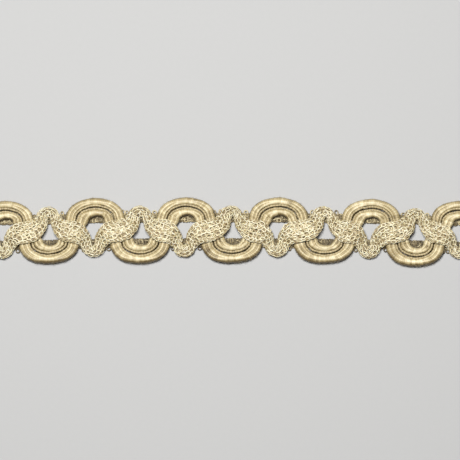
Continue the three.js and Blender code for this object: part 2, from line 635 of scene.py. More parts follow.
@dataclass(frozen=True)
class RayonFinish:
    """Soft shiny rayon yarn, wrapped or knitted.

    Args:
        name: Name of the material.
        deep: Colour where the yarn lies deep, at the lowest tone, where painted shade darkens it.
        body: Colour of most of the yarn.
        light: Colour at the highest tone, where painted light brightens the yarn's crests.
        lay: How its filaments lie.
        roughness: How dull the yarn is.
        gloss: How strong its shine is.
        glow: How far light soaks into the yarn, as a share.
        filament: Width of the filament bundles that the bump shows, in metres.
        filament_bump: Strength of that bump.
        bundle_turns: Turns of the fine noise in the width of a bundle.
        round_share: How fast the pattern of wrapped filaments changes round the strand, against
            along it.
        clouds: Turns of the cloudy noise in a metre.
        mottle: How far either noise changes the tone.
        dulling: How far the fine noise changes the roughness.
        soak: How far each colour of light goes in, against red.
        soak_depth: How far red light goes in, in metres.
    """

    name: str
    deep: Colour
    body: Colour
    light: Colour
    lay: Lay = Lay.PLAIN
    roughness: float = 0.45
    gloss: float = 0.5
    glow: float = 0.25
    filament: float = 0.00006
    filament_bump: float = 0.5
    bundle_turns: float = 0.33
    round_share: float = 0.12
    clouds: float = 190.0
    mottle: float = 0.3
    dulling: float = 0.2
    soak: Colour = (1.0, 0.75, 0.4)
    soak_depth: float = 0.0004

    def grain_place(self, surface: Surface, place: Signal) -> Signal:
        """Where the fine noise is read.

        Args:
            surface: The material's tree.
            place: Place on the object.

        Returns:
            Places, stretched round the strand where the yarn is wrapped.
        """
        if self.lay is Lay.PLAIN:
            return place
        along = surface.node("ShaderNodeCombineXYZ", {}, {"X": surface.attribute("run") * MM}).out()
        weak = surface.vector("SCALE", {0: place, "Scale": self.round_share})
        return surface.vector("ADD", {0: along, 1: weak})

    def material(self) -> bpy.types.Material:
        """The finish as a material.

        Returns:
            A material that reads the mesh's tone and run, and its place on the object.
        """
        surface = Surface(self.name)
        place = surface.place()
        fine = surface.noise(self.grain_place(surface, place), self.bundle_turns / self.filament)
        cloudy = surface.noise(place, self.clouds)
        # The tone holds painted shade and painted light as well as the yarn's random tone
        tone = surface.attribute("tone") * 0.5 + 0.5
        tone = tone + (fine - 0.5) * self.mottle + (cloudy - 0.5) * self.mottle
        stops = [(0.0, self.deep), (0.5, self.body), (1.0, self.light)]
        ramp = surface.node("ShaderNodeValToRGB", {"stops": stops}, {"Fac": tone.kept()})
        values = {"Strength": self.filament_bump, "Distance": 0.5 * self.filament, "Height": fine}
        bump = surface.node("ShaderNodeBump", {}, values)
        values = {
            "Base Color": ramp.out("Color"),
            "Roughness": (fine - 0.5) * self.dulling + self.roughness,
            "Normal": bump.out(),
            "Specular IOR Level": self.gloss,
            "Subsurface Weight": self.glow,
            "Subsurface Radius": self.soak,
            "Subsurface Scale": self.soak_depth,
        }
        return surface.finished(values)


@dataclass(frozen=True)
class PaleFloorFinish:
    """Matt pale paper under the trim.

    Args:
        name: Name of the material.
        colour: Its colour.
        grain: Turns of its fine mottle in a metre.
        layers: How many finer layers the mottle has.
        shade: How light the darker parts of the mottle are, as a share.
        roughness: How dull the paper is.
        gloss: How strong its shine is.
    """

    name: str = "pale_floor"
    colour: Colour = (0.46, 0.465, 0.475)
    grain: float = 900.0
    layers: float = 3.0
    shade: float = 0.97
    roughness: float = 0.9
    gloss: float = 0.2

    def material(self) -> bpy.types.Material:
        """The finish as a material.

        Returns:
            A material that reads the place on the object.
        """
        surface = Surface(self.name)
        grain = surface.noise(surface.place(), self.grain, self.layers)
        darker = tuple(self.shade * part for part in self.colour)
        values = {"Factor": grain, "A": (*self.colour, 1.0), "B": (*darker, 1.0)}
        mixed = surface.node("ShaderNodeMix", {"data_type": "RGBA"}, values)
        colour = mixed.out(Surface.MIXED_COLOUR)
        values = {"Base Color": colour, "Roughness": self.roughness, "Specular IOR Level": self.gloss}
        return surface.finished(values)


CORD_RAYON = RayonFinish(
    name="cord_rayon",
    deep=(0.13, 0.09, 0.035),
    body=(0.46, 0.375, 0.205),
    light=(0.79, 0.71, 0.49),
    lay=Lay.WRAPPED,
    roughness=0.44,
    gloss=0.6,
    glow=0.15,
)
TAPE_RAYON = RayonFinish(
    name="tape_rayon",
    deep=(0.29, 0.215, 0.11),
    body=(0.57, 0.48, 0.285),
    light=(0.87, 0.8, 0.58),
    roughness=0.42,
    gloss=0.65,
    glow=0.2,
)
# Darker than the tape's yarn, partly its own colour and partly painted shade for where the band lies
# under the cords
BAND_RAYON = RayonFinish(
    name="band_rayon",
    deep=(0.08, 0.06, 0.03),
    body=(0.186, 0.144, 0.075),
    light=(0.56, 0.475, 0.285),
    roughness=0.5,
    glow=0.1,
)


def dressed(piece: bpy.types.Object, finish: RayonFinish, nodes: Sequence[str]) -> None:
    """Gives a piece its finish and its place in the frame.

    Args:
        piece: The finished mesh object.
        finish: The yarn that it is made of.
        nodes: The frame's nodes that it stands for.
    """
    piece.data.materials.append(finish.material())
    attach(piece, ROOT)
    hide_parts(*nodes)
    triangles = sum(len(face.vertices) - 2 for face in piece.data.polygons)
    log.info("%s: %d triangles", piece.name, triangles)


# The pair of gimp cords


@dataclass(frozen=True)
class CordRings:
    """Even steps along the line between the two cords.

    Args:
        middle: Points of the line.
        away: Directions away from the other cord.
        run: Distances along the line.
        width: Width of the cord.
        spread: How far its strands lie apart.
        outside: Whether it is the outer cord of the arch, from 0 to 1.
    """

    middle: np.ndarray
    away: np.ndarray
    run: np.ndarray
    width: np.ndarray
    spread: np.ndarray
    outside: np.ndarray


@dataclass(frozen=True)
class Wrapping:
    """Fine yarn wound round a strand, turn beside turn.

    Args:
        pitch: Width of a turn.
        depth: How far the turns stand out, as a share of the strand's radius.
        usual: Height of the turns at which the strand keeps its own width.
        heights: Lowest and highest crown of a turn.
        roundness: How soon a turn rises from its groove.
        lightness: How much the turns differ in tone.
        groove: How much darker the grooves are.
    """

    pitch: float
    depth: float
    usual: float
    heights: tuple[float, float] = (0.55, 1.15)
    roundness: float = 0.7
    lightness: float = 0.12
    # groove: How much darker the grooves are painted, as painted shade, with the turns' crowns
    # painted lighter as painted highlight.
    groove: float = 0.3

    def turns(self, rng: np.random.Generator, run: np.ndarray) -> tuple[np.ndarray, np.ndarray]:
        """How high each ring lies in its turn, and how light it is.

        Args:
            rng: Seeded source of random numbers.
            run: Distance along the strand of each ring.

        Returns:
            Height from 0 to about 1, and tone round zero.
        """
        just_past, mean = 0.001, 0.7
        place = run / self.pitch + just_past
        turn = place.astype(int)
        profile = np.sin(np.pi * (place - turn)) ** self.roundness
        count = turn[-1] + 1
        height = rng.uniform(*self.heights, count)[turn]
        light = rng.normal(0, self.lightness, count)[turn]
        # Painted shade in the grooves between turns, painted highlight on their crowns
        return profile * height, light + self.groove * (profile - mean)

    def growth(self, height: np.ndarray) -> np.ndarray:
        """How many times its own width the strand has where the wrapping is this high."""
        return 1 + self.depth * (height - self.usual)


@dataclass(frozen=True)
class StrayFibres:
    """Broken filaments that stand out from the outer side of a cord.

    Args:
        density: Number on a millimetre of cord.
        upper_share: How common they are where the cord faces up the picture, against down.
        inner_share: How common they are on the inner cord of an arch, against the outer one.
        angles: Lowest and highest place round the cord, in degrees from level.
        lengths: Shortest and longest.
        lean: How far they lean along the cord, as a share of their length.
        rises: Least and most that they stand off the cord, as a share of their length.
        curl: How far their ends curl back.
        rooted: How far out in the cord they start.
        floor_gap: How far they stay off the surface below.
        tone: How light they are.
        tone_play: How much they differ in tone.
        radii: Thickness at places along a fibre, each a share of its length and a radius.
        sides: Points in a ring.
    """

    density: float = 5.0
    upper_share: float = 0.15
    inner_share: float = 0.05
    angles: tuple[float, float] = (-45, 35)
    lengths: tuple[float, float] = (0.25, 0.75)
    lean: float = 0.45
    rises: tuple[float, float] = (0.15, 0.6)
    curl: float = 0.3
    rooted: float = 0.97
    floor_gap: float = 0.1
    tone: float = -0.1
    tone_play: float = 0.3
    radii: tuple[tuple[float, float], ...] = ((0.0, 0.022), (0.35, 0.02), (0.7, 0.016), (1.0, 0.008))
    sides: int = 3


@dataclass
class GimpCord:
    """One gimp cord: a thick wrapped strand, and a thin wrapped thread on the side of the other cord.

    A pair of values is for the left and the right leg of an arch, unless its line says otherwise.

    Args:
        layout: Where the repeats lie.
        side: Which cord of the pair this is.
        depth: Thickness of the thick strand.
        pair_gap: Gap between the two cords.
        centre_height: Height of the thick strand's middle.
        upward: How far the pair lies up the picture from the even rows.
        lower_slimmer: How much slimmer the lower cord is on the outside of its arches.
        upper_swell: How much wider the upper cord is round its outer shoulders.
        lower_swell: How much wider the lower cord is round its outer shoulders.
        inner_swell: How much wider either cord is round its inner shoulders.
        inner_foot: How far the inner cord spreads at its foot.
        foot_roundness: How soon that spread sets in below the strand's middle.
        crest_shift: How far the outer cord's crest leans to the gap.
        wrapping: The thick strand's wrapping.
        wrap_rings: Rings in a turn of that wrapping.
        wrap_slant: How far the turns slant along the strand.
        strand_sides: Points in a ring of the thick strand.
        crowding: How far those points crowd to the strand's top and bottom.
        sway: How the thick strand sways to and from the gap.
        valley_width: Width of the parting along the strand, as a share of its half width.
        valley_depth: Depth of the parting, as a share of the strand's thickness.
        valley_place: Where the parting lies, as a share of the strand's half width.
        valley_sway: How the parting sways.
        tone: How light the thick strand's top is.
        valley_shade: How much darker the parting is painted, as painted shade in the groove between
            the strands.
        streaks: How the thick strand's tone changes along it.
        grain: How the tone of each line of filaments changes along the strand.
        inner_flank: Painted shade on the side at the gap.
        outer_flank: Painted shade on the side away from the gap on the inner cord of an arch.
        open_flank: Painted shade on that side on the outer cord.
        wear_and_down_shade: Further painted shade on that side where it faces down the picture, away
            from the light.
        thread_radius: Radius of the thin thread.
        thread_height: Height of its middle.
        thread_bedding: How far the thick strand overlaps it, on the upper and on the lower cord.
        thread_wrapping: Its wrapping.
        thread_sides: Points in a ring of it.
        thread_sways: How it sways to and from the gap.
        thread_lift: How it sways up and down.
        thread_tone: How light it is.
        fibres: The broken filaments.
        seed: Start of the random numbers.
        arch: Half an arch of the pair.
    """

    layout: Layout
    side: Side
    depth: float = 1.6
    pair_gap: float = 0.18
    centre_height: float = 2.0
    upward: float = 0.08
    lower_slimmer: float = 0.04
    upper_swell: tuple[float, float] = (-0.16, -0.16)
    lower_swell: tuple[float, float] = (0.25, 0.05)
    inner_swell: tuple[float, float] = (0.4, -0.12)
    inner_foot: float = 0.3
    foot_roundness: float = 0.7
    crest_shift: float = 0.18
    wrapping: Wrapping = Wrapping(pitch=0.36, depth=0.06, usual=0.7)
    wrap_rings: int = 5
    wrap_slant: float = 0.12
    strand_sides: int = 20
    crowding: float = 0.45
    sway: tuple[Drift, ...] = (Drift(4.0, 0.03), Drift(0.9, 0.015))
    valley_width: float = 0.2
    valley_depth: float = 0.65
    valley_place: float = -0.05
    valley_sway: Drift = Drift(2.0, 0.1)
    tone: float = 0.42
    valley_shade: float = 1.7
    streaks: tuple[Drift, ...] = (Drift(6.0, 0.06), Drift(0.5, 0.14))
    grain: Drift = Drift(1.6, 0.2)
    inner_flank: Falloff = Falloff(0.9, 3.5)
    outer_flank: Falloff = Falloff(0.55, 2.5)
    open_flank: Falloff = Falloff(0.9, 1.5)
    wear_and_down_shade: Falloff = Falloff(1.35, 1.3)
    thread_radius: float = 0.3
    thread_height: float = 2.2
    thread_bedding: tuple[float, float] = (0.04, 0.2)
    thread_wrapping: Wrapping = Wrapping(pitch=0.66, depth=0.16, usual=0.9)
    thread_sides: int = 7
    thread_sways: tuple[Drift, ...] = (Drift(2.5, 0.02), Drift(0.7, 0.03))
    thread_lift: Drift = Drift(3.0, 0.03)
    thread_tone: float = -0.3
    fibres: StrayFibres = StrayFibres()
    seed: int = 11
    arch: tuple[ArchRow, ...] = (
        ArchRow(0, 5.69, 2.2, 2.0, 0.0, 0.0),
        ArchRow(1.9, 5.42, 2.26, 2.1, 0.6, 0.2),
        ArchRow(3.3, 4.82, 2.46, 2.5, 1.0, 0.8),
        ArchRow(4.22, 3.9, 2.66, 2.6, 1.0, 1.0),
        ArchRow(4.62, 2.75, 2.72, 2.45, 1.0, 1.0),
        ArchRow(REPEAT / 4, 0, 2.1, 2.1, 0.0, 0.8),
    )

    def pair_line(self) -> LaidLine:
        """The line between the two cords.

        Returns:
            The line, level with the floor.
        """
        points = []
        crown_rise = self.arch[0].rise
        for row, centre, stretch, direction, bend in self.layout.each_row(self.arch, Shift.ARCH):
            reach = (crown_rise + self.layout.bends[bend].arch_reach) / crown_rise
            x = centre + direction * row.along * stretch
            y = self.layout.midline(x) + self.layout.arch_side(bend) * row.rise * reach
            points.append((x, y + self.upward, 0.0))
        return LaidLine(np.array(points))

    def width_at(self, row: ArchRow, direction: int, bend: int) -> float:
        """Width of this cord at a row of an arch.

        Args:
            row: The row of the half arch.
            direction: 1 on the arch's right leg and -1 on its left one.
            bend: Number of the arch.

        Returns:
            The width, with the difference between the legs.
        """
        leg = int(direction > 0)
        if self.layout.arch_side(bend) != self.side.value:
            return row.inner_width + row.swell * self.inner_swell[leg]
        if self.side is Side.UPPER:
            return row.outer_width + row.swell * self.upper_swell[leg]
        return row.outer_width - self.lower_slimmer + row.swell * self.lower_swell[leg]

    def rings_along(self) -> CordRings:
        """Rings at even steps of the pair's line.

        Returns:
            The places of the rings, a few to each turn of the wrapping.
        """
        line = self.pair_line()
        share = np.linspace(0, 1, FINE_POINTS)
        run = run_of(line.at(share))
        turns = int(run[-1] / self.wrapping.pitch)
        wanted = np.linspace(0, run[-1], self.wrap_rings * turns + 1)
        at = np.interp(wanted, run, share)
        points = line.at(at)
        tangent = unit(np.gradient(points, axis=0))
        away = np.stack([-tangent[:, 1], tangent[:, 0], 0 * wanted], axis=-1) * self.side.value
        rows = list(self.layout.each_row(self.arch, Shift.ARCH))
        knots = np.linspace(0, 1, len(rows))
        outside = [self.layout.arch_side(bend) == self.side.value for *_, bend in rows]
        widths = [self.width_at(row, direction, bend) for row, _, _, direction, bend in rows]
        spreads = [row[0].spread for row in rows]
        by_row = (widths, spreads, np.array(outside, float))
        return CordRings(points, away, wanted, *(np.interp(at, knots, values) for values in by_row))

    def main_strand(self, rng: np.random.Generator, strands: Strands) -> None:
        """Adds the thick strand, whose section parts in two where the cord turns a shoulder.

        Args:
            rng: Seeded source of random numbers.
            strands: What the rings are added to.
        """
        along = self.rings_along()
        run, outside = along.run, along.outside[:, None]
        thread = 2 * self.thread_radius - self.thread_bedding[self.side is Side.LOWER]
        half = (along.width - thread) / 2
        centre = self.pair_gap / 2 + thread + half
        height, light = self.wrapping.turns(rng, run)
        even = 2 * np.pi * (np.arange(self.strand_sides) + 0.5) / self.strand_sides
        angle = even + self.crowding * np.cos(even)
        cosine, sine = np.cos(angle)[None, :], np.sin(angle)[None, :]
        across = cosine * half[:, None]
        valley = self.valley_sway.along(rng, run)[:, None] + self.valley_place
        nearness = np.exp(-(((across / half[:, None] - valley) / self.valley_width) ** 2))
        parting = nearness * along.spread[:, None] * self.valley_depth
        above = sine * self.depth / 2 * (1 - parting)
        grow = self.wrapping.growth(height[:, None])
        across, above = across * grow, above * grow
        below = np.maximum(-sine, 0) ** self.foot_roundness
        foot = self.inner_foot * below * np.maximum(cosine, 0)
        across = across + foot * (1 - outside)
        across = across - self.crest_shift * outside * np.maximum(sine, 0)
        sway = sum(drift.along(rng, run) for drift in self.sway)
        forward = np.stack([along.away[:, 1], -along.away[:, 0], 0 * run], axis=-1) * self.side.value
        out = centre[:, None] + sway[:, None] + across
        rings = along.middle[:, None, :] + along.away[:, None, :] * out[..., None]
        rings = rings + forward[:, None, :] * (self.wrap_slant * cosine)[..., None]
        rings[..., 2] = self.centre_height + above
        streaks = sum(drift.along(rng, run) for drift in self.streaks)
        grain = np.stack([self.grain.along(rng, run) for _ in even], axis=1)
        # Painted shade in the parting between the strands
        tone = (light + streaks)[:, None] + grain + self.tone - self.valley_shade * parting
        self._add_facing_out(strands, rings, run, tone - self.flank_shade(along, cosine))

    def flank_shade(self, along: CordRings, cosine: np.ndarray) -> np.ndarray:
        """How much darker the thick strand's sides are.

        Args:
            along: The rings' places.
            cosine: Place of each point across the strand, from -1 at the gap to 1.

        Returns:
            Loss of tone by ring and side.
        """
        outer, inner = np.maximum(cosine, 0), np.maximum(-cosine, 0)
        # Painted shade: the sides darken as they turn from the light, more where they face down the
        # picture
        turned_down = np.maximum(-along.away[:, 1:2], 0) * outer
        rounded = self.outer_flank.at(outer) + self.inner_flank.at(inner)
        open_side = self.open_flank.at(outer) + self.inner_flank.at(inner)
        return rounded + (open_side - rounded) * along.outside[:, None] + self.wear_and_down_shade.at(turned_down)

    def thin_thread(self, rng: np.random.Generator, strands: Strands) -> None:
        """Adds the thin thread that lies beside the gap between the cords.

        Args:
            rng: Seeded source of random numbers.
            strands: What the rings are added to.
        """
        along = self.rings_along()
        run = along.run
        height, light = self.thread_wrapping.turns(rng, run)
        angle = 2 * np.pi * (np.arange(self.thread_sides) + 0.5) / self.thread_sides
        radius = self.thread_radius * self.thread_wrapping.growth(height)
        centre = self.pair_gap / 2 + self.thread_radius
        for sway in self.thread_sways:
            centre = centre + sway.along(rng, run)
        lift = self.thread_lift.along(rng, run)
        across = centre[:, None] + np.cos(angle)[None, :] * radius[:, None]
        rings = along.middle[:, None, :] + along.away[:, None, :] * across[..., None]
        rings[..., 2] = self.thread_height + lift[:, None] + np.sin(angle)[None, :] * radius[:, None]
        tone = np.broadcast_to(light[:, None] + self.thread_tone, rings.shape[:2])
        self._add_facing_out(strands, rings, run, tone)

    def stray_fibres(self, rng: np.random.Generator, strands: Strands) -> None:
        """Adds the broken filaments that stand out from the cord's outer side.

        Args:
            rng: Seeded source of random numbers.
            strands: What the fibres are added to.
        """
        look, along = self.fibres, self.rings_along()
        away, run, width = along.away, along.run, along.width
        facing = look.upper_share + (1 - look.upper_share) * np.maximum(-away[:, 1], 0)
        chance = facing * (look.inner_share + (1 - look.inner_share) * along.outside)
        count = int(look.density * run[-1])
        steps = np.cumsum(chance) / chance.sum()
        at = np.interp(rng.uniform(0, 1, count), steps, np.arange(len(run))).astype(int)
        angle = np.radians(rng.uniform(*look.angles, count))
        turning = rng.choice([-1.0, 1.0], count)
        out = away[at]
        forward = np.stack([out[:, 1], -out[:, 0], np.zeros(count)], axis=-1)
        centre = self.pair_gap / 2 + self.thread_radius + width[at] / 2
        half = width[at] / 2 - self.thread_radius
        root = along.middle[at] + out * (centre + look.rooted * np.cos(angle) * half)[:, None]
        height = self.centre_height + look.rooted * np.sin(angle) * (self.depth / 2)
        root = root + UP * height[:, None]
        normal = out * np.cos(angle)[:, None] + UP * np.sin(angle)[:, None]
        round_it = (-out * np.sin(angle)[:, None] + UP * np.cos(angle)[:, None]) * turning[:, None]
        length = rng.uniform(*look.lengths, count)[:, None]
        lean = rng.normal(0, look.lean, count)[:, None]
        rise = rng.uniform(*look.rises, count)[:, None]
        places = []
        for share, _ in look.radii:
            sideways = round_it * share + forward * lean * share**2
            sideways = sideways * (1 - look.curl * share)
            places.append(root + length * (sideways + normal * rise * share))
        line = np.stack(places, axis=1)
        line[..., 2] = np.maximum(line[..., 2], look.floor_gap)
        radii = np.broadcast_to(np.array([radius for _, radius in look.radii]), line.shape[:2])
        normals = np.broadcast_to(forward[:, None, :], line.shape)
        tone = rng.normal(look.tone, look.tone_play, count)[:, None, None]
        strands.add(swept(line, normals, radii, radii, look.sides), np.zeros(line.shape[:2]), tone)

    def _add_facing_out(
        self, strands: Strands, rings: np.ndarray, run: np.ndarray, tone: np.ndarray
    ) -> None:
        """Adds one strand with its rings turned so that its faces point outwards.

        Args:
            strands: What the strand is added to.
            rings: Points by ring and side.
            run: Distance along the strand of each ring.
            tone: How light each point is, by ring and side.
        """
        if self.side is Side.UPPER:
            rings, tone = rings[:, ::-1], tone[:, ::-1]
        strands.add(rings[None], run[None], tone[None])

    def build(self) -> bpy.types.Object:
        """Builds and dresses the cord.

        Returns:
            The cord's object.
        """
        rng = np.random.default_rng(self.seed + self.side.value)
        strands = Strands()
        self.main_strand(rng, strands)
        self.thin_thread(rng, strands)
        self.stray_fibres(rng, strands)
        name = self.side.name.lower()
        cord = strands.mesh_object(f"gimp_cord_{name}", self.layout)
        dressed(cord, CORD_RAYON, [f"cord_{name}"])
        return cord


# Knitted pieces


class Layer(Enum):
    """The two layers of a flattened knitted tube."""

    FACE = 0
    BACK = 1


@dataclass
class FlatTube:
    """A flattened knitted tube, by sections along it, in millimetres.

    Args:
        rows: How many rows of loops come before each section.
        left: Left edge at each section.
        right: Right edge at each section.
        low: Height of the underside at each section.
        depth: Thickness at each section.
        skin: How far inside the outline the yarns' middles lie.
        drawn: How far a narrow stretch draws its yarn finer.
        least_fold: Smallest radius of the tube's folded edges.
        least_flat: Smallest width between them.
    """

    rows: np.ndarray
    left: np.ndarray
    right: np.ndarray
    low: np.ndarray
    depth: np.ndarray
    skin: float
    drawn: float = 0.6
    least_fold: float = 0.08
    least_flat: float = 0.05

    def narrowing(self, row: np.ndarray) -> np.ndarray:
        """How much finer the yarn is drawn at places along the tube, by its width there."""
        width = np.linalg.norm(self.right - self.left, axis=1)
        return np.interp(row, self.rows, (width / width.max()) ** self.drawn)

    def on_surface(
        self, around: np.ndarray, row: np.ndarray, lift: np.ndarray
    ) -> tuple[np.ndarray, np.ndarray]:
        """Points on the flattened tube.

        Args:
            around: Place round the tube in turns: 0 is its left fold and 0.5 its right one.
            row: Place along the tube, in rows.
            lift: Distance out from the tube's surface.

        Returns:
            Points, and directions out of the tube.
        """
        left = np.stack([np.interp(row, self.rows, self.left[:, axis]) for axis in (0, 1)], axis=-1)
        right = np.stack([np.interp(row, self.rows, self.right[:, axis]) for axis in (0, 1)], axis=-1)
        depth = np.interp(row, self.rows, self.depth)
        radius = np.maximum(depth / 2 - self.skin, self.least_fold)
        across = right - left
        flat = np.linalg.norm(across, axis=-1) - 2 * self.skin - 2 * radius
        flat = np.maximum(flat, self.least_flat)
        half = flat + np.pi * radius
        turn = np.mod(around, 1.0)
        back = turn >= 0.5
        travel = np.where(back, turn - 0.5, turn) * 2 * half
        corner = np.pi * radius / 2
        first = travel < corner
        last = travel > corner + flat
        angle = np.where(first, travel, np.where(last, travel - corner - flat, 0)) / radius
        out = np.where(first, -np.cos(angle), np.where(last, np.sin(angle), 0.0))
        up = np.where(first, np.sin(angle), np.where(last, np.cos(angle), 1.0))
        base = np.where(first, -flat / 2, np.where(last, flat / 2, travel - corner - flat / 2))
        turned = np.where(back, -1.0, 1.0)
        direction = unit(across)
        sideways = turned * (base + out * (radius + lift))
        height = np.interp(row, self.rows, self.low) + depth / 2 + turned * up * (radius + lift)
        plan = (left + right) / 2 + direction * sideways[..., None]
        points = np.concatenate([plan, height[..., None]], axis=-1)
        level = direction * (turned * out)[..., None]
        return points, np.concatenate([level, (turned * up)[..., None]], axis=-1)


@dataclass(frozen=True)
class LoopPlay:
    """How far a knitted loop strays from an even one, for each part of its unevenness.

    Args:
        length: Its length.
        width: Its width.
        skew: How far one leg runs ahead of the other.
        bow: How far its middle bows aside.
        drag: How far a skew drags it aside.
        tilt: How far its head lifts, in millimetres.
        roll: How far one leg lies over the other, in millimetres.
        tone: How light its yarn is.
    """

    length: float = 0.7
    width: float = 1.1
    skew: float = 0.9
    bow: float = 0.6
    drag: float = 0.25
    tilt: float = 0.7
    roll: float = 0.5
    tone: float = 0.9


@dataclass(frozen=True)
class ChainStitch:
    """A chain of knitted loops, each drawn through the one before.

    Args:
        reach: Length of a loop, in rows.
        spread: Half the width of a loop, in wales.
        relief: How deep the loop's foot lies under its legs, in millimetres.
        wide: Half the width of the yarn.
        thick: Half the thickness of the yarn.
        uneven: How unevenly the loops lie.
        play: What that unevenness does to a loop.
        tone: How light the yarn is.
        drift: How the tone changes along a chain, in rows.
        depth_shade: How much darker a loop's foot is painted than its legs, as painted shade deep in
            the knit.
        speckle: How much the tone changes from point to point.
        facing: How much lighter the yarn is painted on its outer side than inside the tube: painted
            light outside, painted shade inside.
        shade: How much darker all of the yarn is painted, as painted shade.
        bunched_shade: How much darker its deep parts are painted where the tube is drawn narrow, as
            painted shade.
        crumpled: How much wider the loops lie over one another there.
        proud: How far the loops may stand out of the tube, in millimetres.
        stagger: How far every other chain is shifted, in rows.
        smooth: Points for each step between a chain's turning points.
        sides: Points round the yarn.
    """

    reach: float = 1.12
    spread: float = 0.46
    relief: float = 0.26
    wide: float = 0.18
    thick: float = 0.13
    uneven: float = 0.22
    play: LoopPlay = LoopPlay()
    tone: float = 0.28
    drift: Drift = Drift(4.0, 0.16)
    depth_shade: float = 0.75
    speckle: float = 0.6
    facing: float = 0.45
    shade: float = 0.0
    bunched_shade: float = 2.2
    crumpled: float = 1.0
    proud: float = 0.0
    stagger: float = 0.5
    smooth: int = 2
    sides: int = 5

    def even_loop(self) -> np.ndarray:
        """An even loop.

        Returns:
            Its turning points, one a row: place in rows, in wales and in height.
        """
        reach, spread, deep = self.reach, self.spread, -self.relief
        leg = [
            (0.0, 0.1 * spread, deep),
            (0.13, 0.72 * spread, 0.4 * deep),
            (0.5 * reach, spread, 0.03),
            (0.86 * reach, 0.78 * spread, 0.02),
        ]
        head = (reach, 0.0, -0.02)
        back = [(along, -aside, height) for along, aside, height in reversed(leg)]
        to_next = (0.5, 0.0, 1.5 * deep)
        return np.array([*leg, head, *back, to_next])

    def path(self, rng: np.random.Generator, links: int) -> tuple[np.ndarray, np.ndarray]:
        """The line of one chain.

        Args:
            rng: Seeded source of random numbers.
            links: Number of loops.

        Returns:
            Place in rows, in wales off the chain's line and in height, one point a row, and tone.
        """
        reach, play = self.reach, self.play
        longer, wider, skewed, bowed, tilted, toned, rolled = strays(rng, self.uneven, links, 7)
        along, aside, height = np.repeat(self.even_loop()[None], links, axis=0).transpose(2, 0, 1)
        skew = play.skew * skewed
        row = np.arange(links)[:, None] + along * (1 + play.length * longer) + aside * skew
        wale = aside * (1 + play.width * wider) + play.bow * bowed * np.sin(np.pi * along / reach)
        wale = wale + play.drag * skew * along
        tilt = play.tilt * tilted * (along / reach - 0.5) + play.roll * rolled * aside / self.spread
        lift = height + tilt * (height > -self.relief)
        line = np.stack([row, wale, lift], axis=-1).reshape(-1, 3)
        slow = self.drift.along(rng, np.arange(links, dtype=float))[:, None]
        # A loop's foot is painted darker than its legs: painted shade
        tone = slow + play.tone * toned + self.tone + self.depth_shade * height / self.relief
        tone = (tone + rng.normal(0, self.speckle, tone.shape)).reshape(-1)
        steps = np.arange((len(tone) - 1) * self.smooth + 1) / self.smooth
        return smoothed(line, self.smooth), np.interp(steps, np.arange(len(tone)), tone)

    def add(
        self,
        tube: FlatTube,
        middles: Sequence[float],
        pitch: float,
        strands: Strands,
        rng: np.random.Generator,
    ) -> None:
        """Adds chains that run along a tube.

        Args:
            tube: The tube on which they lie.
            middles: Place of each chain round the tube, in turns.
            pitch: Width of a wale, in turns.
            strands: What the yarns are added to.
            rng: Seeded source of random numbers.
        """
        links = int(tube.rows[-1]) - 1
        for index, middle in enumerate(middles):
            line, tone = self.path(rng, links)
            row = line[:, 0] + self.stagger * (index % 2)
            lift = np.minimum(line[:, 2] + self.proud, tube.skin - self.thick + self.proud)
            finer = tube.narrowing(row)[None]
            aside = line[:, 1] * (1 + self.crumpled * (1 / finer[0] - 1))
            points, normals = tube.on_surface(middle + aside * pitch, row, lift)
            wide, thick = self.wide * finer, self.thick * finer
            rings = swept(points[None], normals[None], wide, thick, self.sides)
            # Painted light on the yarn's outer side, painted shade on its inner side, on its sunk
            # parts where the tube is narrow, and over all of it
            outward = np.sin(2 * np.pi * (np.arange(self.sides) + 0.5) / self.sides)
            sunk = np.clip(-line[:, 2] / self.relief, 0, 1)
            drawn = self.shade + self.bunched_shade * (1 - finer[0]) * sunk
            tone = tone[:, None] + self.facing * outward[None, :] - drawn[:, None]
            strands.add(rings, run_of(points[None]), tone[None])


